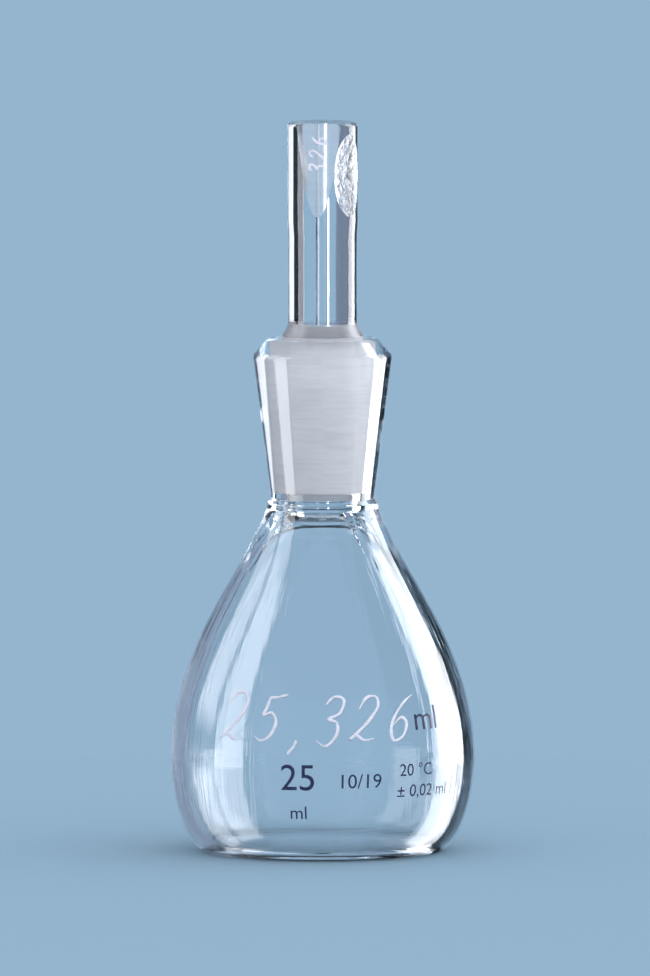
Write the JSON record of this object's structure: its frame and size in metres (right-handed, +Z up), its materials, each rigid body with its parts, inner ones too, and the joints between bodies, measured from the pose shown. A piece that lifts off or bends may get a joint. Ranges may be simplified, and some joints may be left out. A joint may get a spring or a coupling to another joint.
{
  "type": "pycnometer",
  "caption": "Pear-shaped glass density bottle with a tapered neck and a ground cone stopper that has a capillary through it.",
  "frame": {"origin": "centre of the ring that the bottle stands on", "axes": "+Z up along the bottle's axis; the marked side faces -Y"},
  "size_m": [0.0378, 0.0378, 0.0906],
  "materials": {
    "bottle_glass": "clear, polished, with a fine-ground socket",
    "stopper_glass": "clear, polished, with a fine-ground cone and matt grip hollows"
  },
  "bodies": {
    "bottle": {"bottle": "bottle_glass"},
    "stopper": {"stopper": "stopper_glass"}
  },
  "joints": [
    {"name": "stopper_lift", "type": "slide", "parent": "bottle", "child": "stopper", "axis": [0, 0, 1], "range_m": [0, 0.036]}
  ]
}
